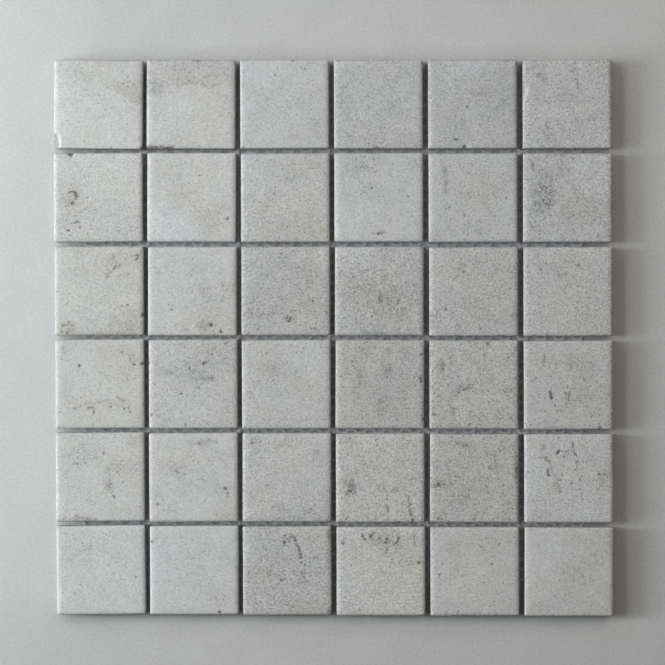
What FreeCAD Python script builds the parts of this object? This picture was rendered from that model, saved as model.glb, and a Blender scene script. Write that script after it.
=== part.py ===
import FreeCAD, Part
import math
import os
import Sketcher

# Mosaic tile sheet: square pressed tiles set in rows and columns on an open net of threads.
# Sizes are in millimetres. X runs to the right along a row, Y runs up the columns, and Z points
# out of the faces of the tiles. The origin is under the middle of the sheet, on the surface
# that it lies on. Row 1 is the row at +Y, and column 1 is the column at -X.

# Driving sizes, each written once
SIZES = {
    # Layout of the tiles
    "tile_rows": 6,
    "tile_columns": 6,
    "joint_width": 3.0,
    # One tile
    "tile_side": 48.0,
    "tile_thickness": 6.0,
    "face_edge_radius": 1.0,
    "corner_flat": 0.2,
    "back_bevel": 0.4,
    # Key channels pressed into the back of a tile
    "channel_count": 4,
    "channel_width": 4.0,
    "channel_depth": 0.5,
    "channel_border": 6.0,
    # Net under the tiles: two crossing layers of straight threads
    "net_inset": 14.0,
    "thread_width": 0.45,
    "thread_thickness": 0.3,
    "thread_spacing": 5.5,
    "thread_angle": 60.0,
}

# Lengths worked out from the sheet, as expressions
CORNER_CUT = "(2 * tan(22.5 deg) * sizes.face_edge_radius + sizes.corner_flat) / sqrt(2)"
CHANNEL_LENGTH = "sizes.tile_side - 2 * sizes.channel_border"
NET_WIDTH = (
    "sizes.tile_columns * (sizes.tile_side + sizes.joint_width)"
    " - sizes.joint_width - 2 * sizes.net_inset"
)
NET_LENGTH = (
    "sizes.tile_rows * (sizes.tile_side + sizes.joint_width)"
    " - sizes.joint_width - 2 * sizes.net_inset"
)

# Two heights or radii closer than this count as equal
SAME = 1e-4

doc = FreeCAD.newDocument("mosaic_tile_sheet")


def make_sizes():
    """Write the driving sizes into the spreadsheet, one row each."""
    sheet = doc.addObject("Spreadsheet::Sheet", "sizes")
    for row, (alias, value) in enumerate(SIZES.items(), start=1):
        sheet.set(f"A{row}", alias)
        sheet.set(f"B{row}", str(value))
        sheet.setAlias(f"B{row}", alias)
    doc.recompute()
    return sheet


def origin_part(body, role):
    """Return the origin plane or axis of a body."""
    for feature in body.Origin.OriginFeatures:
        if feature.Role == role:
            return feature
    raise ValueError(f"{body.Name} has no {role}")


def flat_sketch(body, name):
    """Start a sketch on the XY plane of a body, which is the back of a tile."""
    sketch = body.newObject("Sketcher::SketchObject", name)
    sketch.AttachmentSupport = [(origin_part(body, "XY_Plane"), "")]
    sketch.MapMode = "FlatFace"
    return sketch


def add_rectangle(sketch, width, length):
    """Draw a rectangle whose two sides are bound to expressions."""
    half = 1.0
    corners = [
        FreeCAD.Vector(-half, -half, 0),
        FreeCAD.Vector(half, -half, 0),
        FreeCAD.Vector(half, half, 0),
        FreeCAD.Vector(-half, half, 0),
    ]
    for start, corner in enumerate(corners):
        sketch.addGeometry(Part.LineSegment(corner, corners[(start + 1) % 4]), False)
    for line in range(4):
        sketch.addConstraint(Sketcher.Constraint("Coincident", line, 2, (line + 1) % 4, 1))
    for line in (0, 2):
        sketch.addConstraint(Sketcher.Constraint("Horizontal", line))
    for line in (1, 3):
        sketch.addConstraint(Sketcher.Constraint("Vertical", line))
    bind(sketch, "width", Sketcher.Constraint("DistanceX", 0, 1, 0, 2, 2 * half), width)
    bind(sketch, "length", Sketcher.Constraint("DistanceY", 1, 1, 1, 2, 2 * half), length)


def bind(sketch, name, constraint, expression):
    """Add a named dimension to a sketch and bind it to an expression."""
    index = sketch.addConstraint(constraint)
    sketch.renameConstraint(index, name)
    sketch.setExpression(f"Constraints.{name}", expression)


def edge_names(shape, wanted):
    """Name the edges of a shape that a test picks."""
    return [f"Edge{number}" for number, edge in enumerate(shape.Edges, start=1) if wanted(edge)]


def at_height(height):
    """Return a test for the edges that lie flat at one height."""
    def wanted(edge):
        box = edge.BoundBox
        return abs(box.ZMin - height) < SAME and abs(box.ZMax - height) < SAME
    return wanted


def upright(edge):
    """Tell whether an edge runs straight up."""
    box = edge.BoundBox
    return box.ZLength > SAME and box.XLength < SAME and box.YLength < SAME


def make_block(body):
    """Press the plain square block of a tile."""
    sketch = flat_sketch(body, "outline")
    add_rectangle(sketch, "sizes.tile_side", "sizes.tile_side")
    sketch.addConstraint(Sketcher.Constraint("Symmetric", 0, 1, 2, 1, -1, 1))
    block = body.newObject("PartDesign::Pad", "block")
    block.Profile = sketch
    block.setExpression("Length", "sizes.tile_thickness")
    doc.recompute()
    return block


def soften_edges(body, block, thickness):
    """Take off the upright corners, round the edge of the face and bevel the edge of the back.

    The cut across a corner is wide enough for the rounding of the face to run round it, and
    still leaves the corner flat between the two turns.
    """
    corners = body.newObject("PartDesign::Chamfer", "corners")
    corners.Base = (block, edge_names(block.Shape, upright))
    corners.setExpression("Size", CORNER_CUT)
    doc.recompute()
    face_edge = body.newObject("PartDesign::Fillet", "face_edge")
    face_edge.Base = (corners, edge_names(corners.Shape, at_height(thickness)))
    face_edge.setExpression("Radius", "sizes.face_edge_radius")
    doc.recompute()
    back_edge = body.newObject("PartDesign::Chamfer", "back_edge")
    back_edge.Base = (face_edge, edge_names(face_edge.Shape, at_height(0.0)))
    back_edge.setExpression("Size", "sizes.back_bevel")
    doc.recompute()


def cut_channels(body):
    """Press the row of parallel key channels into the back, inside a plain border."""
    sketch = flat_sketch(body, "channel_outline")
    add_rectangle(sketch, "sizes.channel_width", CHANNEL_LENGTH)
    right_edge = Sketcher.Constraint("DistanceX", -1, 1, 1, 2, 1.0)
    bind(sketch, "right_edge", right_edge, "sizes.tile_side / 2 - sizes.channel_border")
    top_edge = Sketcher.Constraint("DistanceY", -1, 1, 1, 2, 1.0)
    bind(sketch, "top_edge", top_edge, f"({CHANNEL_LENGTH}) / 2")
    channel = body.newObject("PartDesign::Pocket", "channel")
    channel.Profile = sketch
    channel.Reversed = True
    channel.setExpression("Length", "sizes.channel_depth")
    doc.recompute()
    row = body.newObject("PartDesign::LinearPattern", "channel_row")
    row.Originals = [channel]
    row.Direction = (origin_part(body, "X_Axis"), [""])
    row.Reversed = True
    row.setExpression("Length", f"{CHANNEL_LENGTH} - sizes.channel_width")
    row.setExpression("Occurrences", "sizes.channel_count")
    body.Tip = row
    doc.recompute()


def check_channels(body, sheet):
    """Make sure that every channel has been cut, by its volume."""
    cut = body.getObject("back_edge").Shape.Volume - body.Shape.Volume
    length = sheet.tile_side - 2 * sheet.channel_border
    one = sheet.channel_width * length * sheet.channel_depth
    if abs(cut - sheet.channel_count * one) > SAME * one:
        raise ValueError("the key channels are not cut as they should be")


def place_tile(body, row, column):
    """Set a tile in its row and column, on top of the net."""
    pitch = "(sizes.tile_side + sizes.joint_width)"
    body.setExpression("Placement.Base.x", f"({column} - (sizes.tile_columns + 1) / 2) * {pitch}")
    body.setExpression("Placement.Base.y", f"((sizes.tile_rows + 1) / 2 - {row}) * {pitch}")
    body.setExpression("Placement.Base.z", "2 * sizes.thread_thickness")


def make_tiles(sheet):
    """Make the first tile, and one copy of it for every other place in the sheet."""
    tiles = []
    for row in range(1, int(sheet.tile_rows) + 1):
        for column in range(1, int(sheet.tile_columns) + 1):
            body = doc.addObject("PartDesign::Body", f"tile_row{row}_col{column}")
            body.Label = body.Name
            if tiles:
                copy = body.newObject("PartDesign::FeatureBase", f"{body.Name}_copy")
                copy.BaseFeature = tiles[0]
                body.Tip = copy
            else:
                block = make_block(body)
                soften_edges(body, block, sheet.tile_thickness)
                cut_channels(body)
                check_channels(body, sheet)
            place_tile(body, row, column)
            tiles.append(body)
    doc.recompute()
    return tiles


def thread_count(sheet):
    """Count the threads of one layer on each side of the one through the middle."""
    net_width = sheet.tile_columns * (sheet.tile_side + sheet.joint_width)
    net_width -= sheet.joint_width + 2 * sheet.net_inset
    net_length = sheet.tile_rows * (sheet.tile_side + sheet.joint_width)
    net_length -= sheet.joint_width + 2 * sheet.net_inset
    angle = math.radians(sheet.thread_angle)
    reach = (net_width * math.sin(angle) + net_length * math.cos(angle)) / 2
    return int((reach - 2 * sheet.thread_width) / sheet.thread_spacing)


def make_layer(name, turn, height, count):
    """Make one layer of the net: parallel threads, trimmed to the outline of the net."""
    reach = f"({NET_WIDTH} + {NET_LENGTH})"
    threads = []
    for place in range(-count, count + 1):
        thread = doc.addObject("Part::Box", f"{name}_thread")
        thread.setExpression("Length", reach)
        thread.setExpression("Width", "sizes.thread_width")
        thread.setExpression("Height", "sizes.thread_thickness")
        thread.setExpression("Placement.Base.x", f"-{reach} / 2")
        thread.setExpression(
            "Placement.Base.y", f"{place} * sizes.thread_spacing - sizes.thread_width / 2"
        )
        threads.append(thread)
    family = doc.addObject("Part::Compound", f"{name}_family")
    family.Links = threads
    family.setExpression("Placement.Rotation.Angle", turn)
    family.setExpression("Placement.Base.z", height)
    outline = doc.addObject("Part::Box", f"{name}_outline")
    outline.setExpression("Length", NET_WIDTH)
    outline.setExpression("Width", NET_LENGTH)
    outline.setExpression("Height", "2 * sizes.thread_thickness")
    outline.setExpression("Placement.Base.x", f"-({NET_WIDTH}) / 2")
    outline.setExpression("Placement.Base.y", f"-({NET_LENGTH}) / 2")
    layer = doc.addObject("Part::Common", name)
    layer.Base = outline
    layer.Tool = family
    layer.Label = name
    doc.recompute()
    return layer


def make_net(sheet):
    """Lay the two layers of threads, which cross at equal and opposite angles."""
    count = thread_count(sheet)
    return [
        make_layer("net_lower_threads", "-sizes.thread_angle", "0", count),
        make_layer("net_upper_threads", "sizes.thread_angle", "sizes.thread_thickness", count),
    ]


def check_all(pieces):
    """Stop if a feature has failed or a piece has no sound solid."""
    for item in doc.Objects:
        if "Invalid" in item.State or "Error" in item.State:
            raise ValueError(f"{item.Name} has failed: {item.State}")
    for piece in pieces:
        if piece.Shape.isNull() or not piece.Shape.isValid() or not piece.Shape.Solids:
            raise ValueError(f"{piece.Label} has no sound shape")


def main():
    """Build the tile sheet and write one file for each piece."""
    sheet = make_sizes()
    pieces = make_tiles(sheet) + make_net(sheet)
    doc.recompute()
    check_all(pieces)
    os.makedirs("parts", exist_ok=True)
    for piece in pieces:
        piece.Shape.exportStep(f"parts/{piece.Label}.step")
    print(len(pieces), "pieces,", sum(len(piece.Shape.Solids) for piece in pieces), "solids")


main()
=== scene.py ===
import math

import bmesh
import bpy
import numpy as np
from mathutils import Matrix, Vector


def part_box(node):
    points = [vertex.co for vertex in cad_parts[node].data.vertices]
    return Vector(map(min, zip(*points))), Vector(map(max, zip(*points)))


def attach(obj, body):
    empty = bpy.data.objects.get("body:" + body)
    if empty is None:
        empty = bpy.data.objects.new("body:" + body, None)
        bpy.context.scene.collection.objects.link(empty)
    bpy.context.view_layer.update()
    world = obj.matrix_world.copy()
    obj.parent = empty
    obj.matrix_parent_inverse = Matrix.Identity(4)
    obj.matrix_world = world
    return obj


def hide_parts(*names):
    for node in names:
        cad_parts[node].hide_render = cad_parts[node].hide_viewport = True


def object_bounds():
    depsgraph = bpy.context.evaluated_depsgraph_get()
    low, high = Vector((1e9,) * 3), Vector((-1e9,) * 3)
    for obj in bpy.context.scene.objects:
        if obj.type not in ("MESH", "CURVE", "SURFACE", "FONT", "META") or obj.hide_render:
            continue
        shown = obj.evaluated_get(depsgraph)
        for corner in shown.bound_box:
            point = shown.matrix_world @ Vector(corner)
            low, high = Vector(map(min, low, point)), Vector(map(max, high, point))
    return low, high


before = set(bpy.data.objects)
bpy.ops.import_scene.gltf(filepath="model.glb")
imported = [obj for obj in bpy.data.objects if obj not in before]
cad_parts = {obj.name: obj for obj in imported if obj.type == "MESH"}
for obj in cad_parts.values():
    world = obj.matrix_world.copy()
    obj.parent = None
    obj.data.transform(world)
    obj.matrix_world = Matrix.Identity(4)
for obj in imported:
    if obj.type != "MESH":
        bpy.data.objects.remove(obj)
cad_low, cad_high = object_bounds()

# Sizes are millimetres and turns are degrees, where nothing else is said
MM = 0.001
SEED = 417
ROWS = 6
COLUMNS = 6
TILE = 48.0
HALF = TILE / 2
THICK = 6.0

# Face edge: a shallow cushion that ends in a rounded arris, which is painted darker as shade that
# dims its highlight
EDGE_REACH = 3.1
EDGE_DROP = 0.6
DOME = 0.06
EDGE_STEPS = 6
FACE_CELLS = 78
CORNER_POWER = 9.0
GLAZE_END = 1.7
BACK_BEVEL = 0.4
SHARP_ANGLE = 40
ARRIS_PAINTED_SHADE = 0.27
ARRIS_START, ARRIS_RAMP = 0.50, 0.35
BARE_START, BARE_RAMP, BARE_MOST = 0.93, 0.07, 0.35

# Key channels pressed into the back
CHANNEL_EDGES = [-18.0, -14.0, -7.333, -3.333, 3.333, 7.333, 14.0, 18.0]
CHANNEL_HALF_LENGTH = 18.0
CHANNEL_DEPTH = 0.5

# Backing net: flat-topped hexagons
NET_HALF = 137.5
NET_SIDE = 3.29
NET_SHIFT = 0.25
NET_JITTER = 0.10
THREAD_HALF_WIDTH = 0.85
NET_RIDGE = 0.33
NET_RIDGE_MORE = 0.04
NET_EDGE = 0.22
NET_UNDERSIDE = 0.03

# The pressed tiles came out a little wider than their nominal size
SPREAD = 1.0055

# How the limp sheet lies: rows step sideways, and the lower rows dip to the right.
# A tile goes by its row and column, so 23 is the third tile of the second row.
ROW_STEP = 0.30
ROW_STEP_CHANGE = 0.03
DIP = 0.045
DIP_FROM_ROW = 1.5
PLACE_JITTER = 0.06
COMMON_TURN = 0.12
TURN_JITTER = 0.10
COLUMN_SHIFT = [0.25, -0.1, -0.3, -0.35, -0.2, 0.2]
ROW_SHIFT = [0.6, 0.45, 0.3, 0.1, -0.15, -0.5]
NUDGE = {11: (0.4, 0.1)}
TURNS = {
    11: -0.5, 12: -0.2, 13: 0.3, 21: 0.3, 31: 0.3, 41: 0.3, 43: 0.3,
    44: -0.15, 51: 0.4, 52: 0.4, 55: -0.15, 61: 0.7, 63: 0.35, 66: -0.15,
}


# Marks on the faces. Places are measured from a tile's left and top edges, and where a mark
# has several, they are given as u, v, u, v.


def pairs(places):
    return list(zip(places[::2], places[1::2]))


def cloud(u, v, ru, rv, dark, warm=0.0, specks=0.5):
    return ("cloud", u, v, ru, rv, dark, warm, specks)


def haze(u, v, ru, rv, dark):
    """A cloud with no tint and no specks of its own."""
    return cloud(u, v, ru, rv, dark, 0, 0)


def all_over(dark):
    """A haze over the whole tile."""
    return haze(HALF, HALF, HALF + 2, HALF + 2, dark)


def field(places, dark, soft=1.0, warm=0.0, specks=0.5):
    """A cloud with an outline."""
    return ("field", pairs(places), dark, soft, warm, specks)


def pit(u, v, r=0.5, dark=0.8, rim=0.0):
    return ("pit", u, v, r, dark, rim)


def pits(dark, *places, r=0.45):
    return [pit(u, v, r, dark) for u, v in pairs(places)]


def dots(u, v, ru, rv, count, dark=0.5):
    """A loose group of small dark specks."""
    return ("dots", u, v, ru, rv, count, dark)


def line(places, width=0.4, dark=0.4, warm=0.0, broken=0.5):
    return ("line", pairs(places), width, dark, warm, broken)


def ring(u, v, r, start, end, dark=0.5):
    return ("ring", u, v, r, start, end, dark)


def chip(u, v, ru, rv, sink=0.7, dark=0.0):
    return ("chip", u, v, ru, rv, sink, dark)


MARKS = {}
MARKS[11] = [
    all_over(-0.02),
    field([8, -2, 50, -2, 50, 24, 44, 22.5, 37, 19, 30, 14, 20, 13.5, 12, 11], 0.05, 2.5),
    field([27, 14, 33, 12, 50, 9, 50, 25, 42, 22.5, 35, 18.5], 0.07, 1.5, 0.3, 1),
    cloud(4, 24, 5, 26, -0.03, -0.2, 0), chip(-0.5, 46.5, 4.1, 8, 0.07),
    *pits(0.5, 40, 14.2, 38.3, 22, 39.6, 34.5, 39.7, 8.8, 31, 47.3), pit(47.3, 47.3, 0.9, 0.9),
    *pits(0.3, 18, 36, 28, 27),
]
MARKS[12] = [
    field([-2, -2, 50, -2, 50, 13, 39.6, 13.8, 34, 15.2, 27, 12.8, 21.7, 13.8, 16, 14.8, 9, 17, 2,
        19, -2, 19], 0.055, 0.9, 0, 0.8),
    line([17, 14.5, 22, 12.6, 27, 12.8, 34, 14.8, 40, 13.8], 0.8, 0.22, 0.2, 0.6),
    dots(22.5, 11.4, 3, 1.6, 8), cloud(5, 14.5, 4, 5, 0.09, -0.5), cloud(24, 3, 24, 3, 0.02),
    haze(24, 30, 22, 12, -0.02), line([-1, 47.3, 14, 47.5], 0.75, 0.9, 0.5, 0.3),
    line([25, 0.4, 28, 0.4], 0.6, 0.6), line([25, 47, 30, 47], 0.5, 0.3),
    *pits(0.4, 38.5, 8.5, 36, 13.8, 17, 32, 37.8, 22.5),
]
MARKS[13] = [
    cloud(11, 8, 9, 7, -0.04, -0.4, 0), cloud(40, 32, 9, 18, 0.03), cloud(27, 41, 4, 3, 0.05),
    pit(19, 8.3, 0.6, 0.6), pit(35.2, 4.8), pit(28.5, 0.7, 0.5, 0.7), pit(1.6, 47.5, 0.7, 0.6),
    *pits(0.35, 41, 17.5, 44, 17, 12, 14, 31.5, 21.5), dots(39, 24, 8, 16, 10, 0.35),
]
MARKS[14] = [
    all_over(0.03), cloud(32, 11, 4, 3, 0.05), cloud(8, 22, 5, 10, 0.02),
    line([21.6, 47.3, 24.2, 47.3], 0.6, 0.6, 0, 0.2), *pits(0.35, 34, 12, 4.3, 22, 6, 39, 23, 29.7),
    dots(24, 24, 22, 22, 14, 0.3),
]
MARKS[15] = [
    cloud(18, 6, 14, 5, -0.03, -0.4, 0), cloud(27, 18, 6, 2, 0.07), cloud(41, 19, 5, 6, 0.05),
    cloud(16, 34, 5, 6, 0.05), cloud(34, 43, 3, 3, 0.05), pit(21, 25.5, 0.5, 0.75),
    line([14.2, 42.9, 15.6, 42.8], 0.55, 0.8, 0, 0.1), pit(19.3, 47.1, 0.9, 0.95),
    haze(22, 46.8, 1.2, 0.8, -0.15), *pits(0.4, 18.3, 32.3, 42, 21.5, 43, 32.5, 22.5, 23.3),
    dots(40, 20, 5, 8, 10, 0.4),
]
MARKS[16] = [
    chip(0, 17.3, 2.2, 2.9, 0.12), dots(28, 6, 1.6, 7, 16, 0.6),
    line([28, 1, 28.4, 9, 30, 15], 0.9, 0.35, 0, 0.8), cloud(8.5, 8.3, 1.8, 1.6, 0.22, -0.2, 0),
    haze(11.5, 11.5, 1.6, 1.6, 0.14), dots(15, 40, 5, 6, 22), ring(14, 35.2, 1.6, 60, 300, 0.4),
    dots(38.5, 31.5, 2, 2, 9, 0.6), cloud(24, 20, 20, 4, 0.03, 0, 1),
    cloud(32, 27, 4, 4, -0.05, 0.5, 0), dots(30, 30, 22, 22, 24, 0.35),
    *pits(0.6, 40.7, 7.3, 44.5, 44, 15.5, 23, 44, 1.6),
]
MARKS[21] = [
    haze(32, 10, 22, 14, -0.05), ring(9.6, 23.3, 2.5, -60, 150, 0.9),
    ring(9.9, 22.9, 2.6, -30, 80, 0.95), pit(8.4, 26.6, 0.4, 0.6), pit(10, 27.1, 0.7, 0.95),
    pit(11.4, 26.7, 0.4, 0.6), line([12, 23, 13.4, 23.6], 0.4, 0.5), cloud(9, 24, 4, 5, 0.08, 0.6),
    cloud(7, 27, 3.5, 4, 0.03, 0.5), ring(12.6, 38.6, 1.6, 20, 170, 0.9), pit(13.8, 40, 0.6),
    pit(7.7, 41.6, 0.65, 0.9), pit(6, 40.7, 0.4, 0.7), pit(4.6, 39.8, 0.35, 0.5),
    cloud(8, 30, 6, 14, 0.035), cloud(36, 34, 12, 12, 0.025), chip(9.8, 0.2, 1.3, 1.3, 0.4, 0.6),
    line([5.5, -1, 9, 1.6], 0.6, 0.6), *pits(0.35, 4.6, 16, 18.5, 24),
]
MARKS[22] = [
    field([-2, 25, 6, 27, 14, 30, 22, 34, 27, 39, 31, 45, 33, 50, -2, 50], -0.025, 1.2, -0.4, 0),
    cloud(34, 34, 8, 10, 0.05, 0.15), cloud(15, 16, 9, 8, 0.04), cloud(17, 24, 8, 4, 0.03),
    line([8, 8, 16, 18], 0.4, 0.12), line([12, 6, 20, 17], 0.4, 0.12), pit(43.6, 35.5, 0.55, 0.85),
    *pits(0.45, 28, 12, 15.7, 6.8, 25.3, 28.6, 30.6, 25.2), dots(30, 30, 9, 10, 12, 0.35),
]
MARKS[23] = [
    cloud(8, 10, 10, 12, -0.03, -0.3, 0), cloud(40, 40, 9, 8, 0.06, 0.3, 1),
    cloud(20, 42, 14, 5, 0.03), cloud(36, 32, 3, 3, 0.04), cloud(35, 6, 9, 5, 0.02, 0.7),
    *pits(0.6, 10.8, 26.3, 18, 21.5), dots(4.5, 42, 1.2, 2, 6), dots(24, 24, 22, 22, 26, 0.35),
    pit(46.7, 45.3, 0.6, 0.5),
]
MARKS[24] = [
    cloud(12, 6, 9, 6, 0.07, 0, 1), cloud(11, 11, 3, 2.5, 0.06), cloud(43, 5, 5, 5, 0.05),
    cloud(24, 22, 20, 5, 0.02), haze(14, 36, 14, 10, -0.03), pit(20.2, 18.9),
    line([39.2, 23.1, 40.4, 23.3], 0.45, 0.75, 0, 0.1),
    line([21, 43.5, 29, 42.8], 0.45, 0.35, 0, 0.4), pit(23.8, 43.7, 0.6, 0.95),
    pit(25.5, 43.5, 0.55, 0.9), ring(25.5, 45.5, 3.4, 40, 140, 0.2), dots(17, 6, 6, 5, 22),
    *pits(0.45, 35, 20, 30, 36, 11, 34.8, 16.4, 11.7),
]
MARKS[25] = [
    all_over(0.03), line([6.6, 1, 7.8, 8], 0.9, 0.4, -0.3, 0.6),
    line([9, 9, 9.6, 15, 9.4, 22], 1.3, 0.32, -0.2), dots(9, 12, 1.6, 9, 14),
    pit(11.1, 29.3, 0.6, 0.75), dots(11, 27.5, 1.5, 2, 6), pit(19.4, 33.4, 0.7, 0.6),
    cloud(28, 20, 8, 9, 0.03, 0.7, 1), haze(39, 29, 6, 6, -0.04), cloud(22, 40, 6, 3, 0.03),
    pit(42.2, 24, 0.6, 0.5), dots(26, 42, 10, 6, 26, 0.45), cloud(5, 45, 4, 3, 0.05),
    *pits(0.5, 21.5, 11, 15, 26.5, 35.7, 34, 18.7, 43, 20, 47, 27, 36.6, 28.3, 37.3),
]
MARKS[26] = [
    all_over(0.03), field([8, 8, 15, 10, 18, 22, 17, 30, 8, 33, 4, 26, 5, 16], 0.075, 2.5, 0, 1.4),
    dots(10.5, 21, 8.5, 13, 74, 0.42), dots(13, 27, 6, 6, 22), cloud(14, 26, 4, 4, 0.04),
    line([5, 5.4, 5.4, 8], 0.7, 0.7, -0.2, 0.2), line([20, 9, 21.5, 1], 1.5, 0.25),
    *pits(0.75, 13.6, 27.8, 11, 25.5, 4, 19, 14.7, 20.2, 14.7, 33.5, 27, 3.2),
    cloud(34, 30, 12, 9, 0.02, 0.6), cloud(14, 14, 5, 4, 0, 0.4),
    field([25, 3, 46, 1, 48, 20, 44, 22, 34, 21, 27, 15], -0.06, 2, -0.2, 0),
]
MARKS[31] = [
    all_over(-0.025), field([29, 4, 36, 2, 36, 9, 28, 16, 26, 16], 0.05, 1.5),
    line([31.5, 5, 33, 8.4], 0.6, 0.3),
    line([37, 9.2, 34, 10.6, 30, 14, 28, 17], 0.7, 0.42, 0.2, 0.7), cloud(34, 11, 3, 2, 0.05, 0.3),
    line([42.2, 5.2, 45.6, 4.7, 43.6, 7.4], 0.45, 0.65, 0, 0.4), pit(39.8, 14.7, 0.5, 0.55),
    field([27, 46, 32, 38, 40, 33, 50, 31, 50, 50, 26, 50], 0.045, 3, 0.4, 1.2),
    dots(41, 43, 7, 6, 34, 0.42), chip(48, 37.3, 1.1, 1.1, 0.3, 0.7),
    cloud(6.5, 44, 5, 4, 0.08, 0.6, 1), line([4.2, 42.2, 6.2, 42.8, 7.6, 41], 0.5, 0.65),
    pit(6.4, 46.4, 0.6, 0.85), pit(3.7, 46.2, 0.5, 0.7), dots(8, 44, 4, 3, 18, 0.6),
    dots(20, 47.2, 20, 0.5, 20), *pits(0.7, 39.4, 31.7, 36.5, 32.3, r=0.55),
    *pits(0.45, 6, 31, 1.2, 24.3, 14.5, 22, 18, 4.6),
]
MARKS[32] = [
    cloud(31, 42.5, 5, 3.5, 0.12, 1.1, 1), cloud(32, 33, 10, 10, 0.04),
    cloud(45, 24, 4, 5, 0.05, 0.3), cloud(8, 20, 8, 22, -0.025, -0.4, 0), pit(34, 42.4, 0.9, 0.85),
    pit(39.5, 46, 0.75, 0.95), pit(39.3, 44.9), dots(32, 41.5, 5, 3, 18, 0.6),
    line([30, 43, 30.6, 45], 0.5, 0.4, 0.8), line([23.2, 34, 23, 41], 0.4, 0.22),
    dots(19.5, 45, 3, 1, 6), dots(42, 22, 5, 5, 14), dots(33, 28, 10, 8, 18, 0.4),
    pit(12.7, 34, 0.55, 0.7), *pits(0.5, 23.6, 15.5, 13.2, 31.6, 32.8, 38.3, 30, 27.5, 24, 24.5),
]
MARKS[33] = [
    all_over(0.025), cloud(31, 6, 4.5, 3, -0.07, -0.3, 0), haze(5, 14, 5, 4, -0.05),
    cloud(44, 4, 4, 5, -0.04, 0.3, 0), cloud(26, 39, 2.6, 2.2, 0.1),
    dots(26, 39.3, 1.8, 1.6, 14, 0.8), pit(25.6, 40.3, 0.6, 0.75), cloud(38, 19, 5, 6, 0.04, 0.3),
    cloud(14, 41, 12, 6, 0.02), cloud(27, 32, 8, 5, 0.03), dots(38, 44.5, 3, 1.6, 12, 0.6),
    dots(7, 29, 4, 2, 14), dots(8, 36, 8, 6, 22, 0.4), cloud(32, 40, 3, 2, -0.02, 0.6, 0),
    dots(34, 24, 8, 12, 26, 0.45),
    *pits(0.6, 21.8, 3.5, 35.2, 18.6, 36.5, 22.2, 22, 36, 5.5, 36, 14, 15.3),
    pit(38.5, 29.4, 0.6, 0.7),
]
MARKS[34] = [
    all_over(0.02), field([-2, -2, 22, -2, 20, 8, 14, 12, -2, 13], -0.06, 1.5, -0.2, 0),
    cloud(24.5, 27.5, 2, 2.6, 0.1), dots(24.6, 27.2, 1.5, 2.6, 14, 0.8),
    cloud(29, 31, 6, 5, 0.05, 0.5), cloud(32, 23, 4, 2, 0.05), cloud(42, 24, 4, 5, 0.03, -0.2),
    dots(33, 30, 9, 9, 44), cloud(36, 36, 12, 10, 0.02, 0.4, 1),
    cloud(26, 46.6, 14, 1.5, 0.07, -0.6), line([14, 46.5, 18, 46.2], 0.7, 0.5),
    cloud(13, 22, 6, 2, 0.03), *pits(0.75, 25, 2, 25.1, 29.5, 42.3, 20.6, r=0.55),
    *pits(0.55, 20.2, 37.7, 32.4, 22.5, 9.8, 16.5),
]
MARKS[35] = [
    all_over(0.035), cloud(17, 11, 4, 3, 0.05), dots(17, 10, 3, 3, 12),
    cloud(42, 21, 5, 7, 0.04, 0.3), dots(8.7, 33, 1.2, 2, 10, 0.6), cloud(3, 37.5, 3, 3, 0.06),
    dots(3, 37.5, 2.5, 1.6, 10, 0.55), cloud(45.5, 37.5, 2, 3, 0.1, 0.3),
    dots(14, 43, 5, 3, 14, 0.45), cloud(28, 41, 10, 3, 0.02), cloud(29, 24, 10, 11, 0, 0.35),
    *pits(0.75, 18.6, 13.3, 27.7, 44.2, r=0.55), *pits(0.5, 15.3, 45, 30, 14.8, 44, 22, 17.4, 6.7),
    dots(28, 30, 10, 8, 16, 0.35),
]
MARKS[36] = [
    cloud(20, 15.5, 4, 2.6, 0.05), dots(20, 15.5, 3, 2, 12), dots(30, 10.3, 1.8, 1.4, 9, 0.65),
    cloud(18, 12, 12, 5, 0.02, 0, 1), cloud(33, 32, 8, 8, 0.02, 0.3),
    cloud(3, 30, 4, 16, -0.02, -0.2, 0), dots(28, 19, 11, 6, 30, 0.4),
    *pits(0.6, 12.5, 8.8, 29.4, 10, 9.2, 11.8),
    *pits(0.5, 40.5, 15.6, 38.3, 7.6, 3.6, 24.6, 34, 24.4, 25.5, 20),
]
MARKS[41] = [
    cloud(34, 5, 12, 5, 0.04, 0.2), pit(36, 6.8, 0.55, 0.6), pit(13, 14, 0.7, 0.85),
    pit(42.5, 13.6, 0.6, 0.85), chip(48.2, 13.2, 1.3, 1, 0.2, 0.5), pit(46.3, 13.2, 0.6, 0.7),
    dots(41, 11, 4, 4, 20), line([9.6, 37.2, 12.4, 36.8, 14, 35.6], 0.45, 0.55, 0.7),
    line([16, 34.4, 17.2, 36.8, 20.4, 36.5, 20.8, 39.8], 0.45, 0.6, 0.8),
    pit(29.9, 36.4, 0.55, 0.85), line([16.6, 34.4, 21, 34.2, 28, 33, 29.9, 36.2], 0.6, 0.45, 0.9),
    pit(37.2, 37.4, 0.6, 0.75),
    line([33.6, 31, 36, 33, 39, 32.9, 39.8, 36.4, 40.6, 40], 0.5, 0.5, 0.9, 0.6),
    cloud(24, 34.6, 14, 1.6, 0.04, 0.9),
    line([24.2, 17, 24.6, 22, 23.4, 28, 23, 32], 0.45, 0.3, 0.5, 0.8), cloud(38, 24, 8, 16, 0.02),
    dots(38, 20, 4, 5, 12), line([4, 3, 4.6, 7], 0.5, 0.35, 0.7),
    *pits(0.5, 2, 39.3, 9.4, 31.3, 38.4, 20.5, 20, 45.5),
]
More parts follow.
